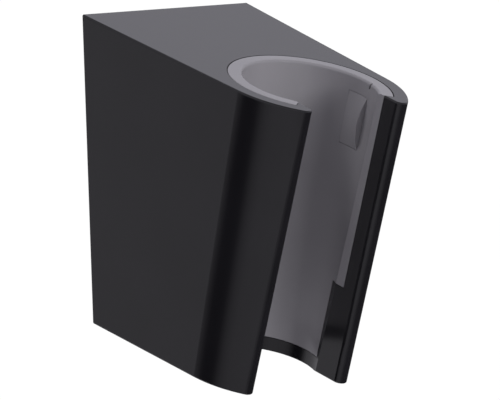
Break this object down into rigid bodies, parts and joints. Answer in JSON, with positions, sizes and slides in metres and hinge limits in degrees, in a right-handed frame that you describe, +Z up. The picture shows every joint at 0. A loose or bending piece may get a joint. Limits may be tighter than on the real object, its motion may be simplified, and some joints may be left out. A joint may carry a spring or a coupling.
{
  "type": "hand shower wall holder",
  "caption": "Fixed wall holder for a hand shower: a leaning open cone with a grey liner in a black housing that pulls off a screwed wall plate.",
  "frame": {"origin": "centre of the flat wall face, at mid-height of the housing's back", "axes": "+Z up, +Y into the wall, the hose slot faces -Y, +X to the right as seen from the front"},
  "size_m": [0.037, 0.0497, 0.0624],
  "materials": {
    "black_shell": "satin black moulding",
    "grey_liner": "satin grey moulding",
    "plate": "matt dark moulding",
    "steel": "plain steel",
    "brass": "turned brass"
  },
  "bodies": {
    "wall_side": {"wall_plate": "plate"},
    "holder": {"housing": "black_shell", "cone_liner": "grey_liner", "threaded_insert": "brass", "liner_screw_upper": "steel", "liner_screw_lower": "steel"},
    "clamp_screw": {"set_screw": "steel"},
    "left_grip": {"grip_spring_left": "grey_liner"},
    "right_grip": {"grip_spring_right": "grey_liner"}
  },
  "joints": [
    {"name": "housing_slide", "type": "slide", "parent": "wall_side", "child": "holder", "axis": [0, -1, 0], "range_m": [0, 0.02]},
    {"name": "set_screw_travel", "type": "slide", "parent": "holder", "child": "clamp_screw", "axis": [0, 0.2588, -0.9659], "range_m": [0, 0.003]},
    {"name": "left_grip_press", "type": "slide", "parent": "holder", "child": "left_grip", "axis": [-1, 0, 0], "range_m": [0, 0.0004], "stiffness_N_per_m": 4000},
    {"name": "right_grip_press", "type": "slide", "parent": "holder", "child": "right_grip", "axis": [1, 0, 0], "range_m": [0, 0.0004], "stiffness_N_per_m": 4000}
  ]
}
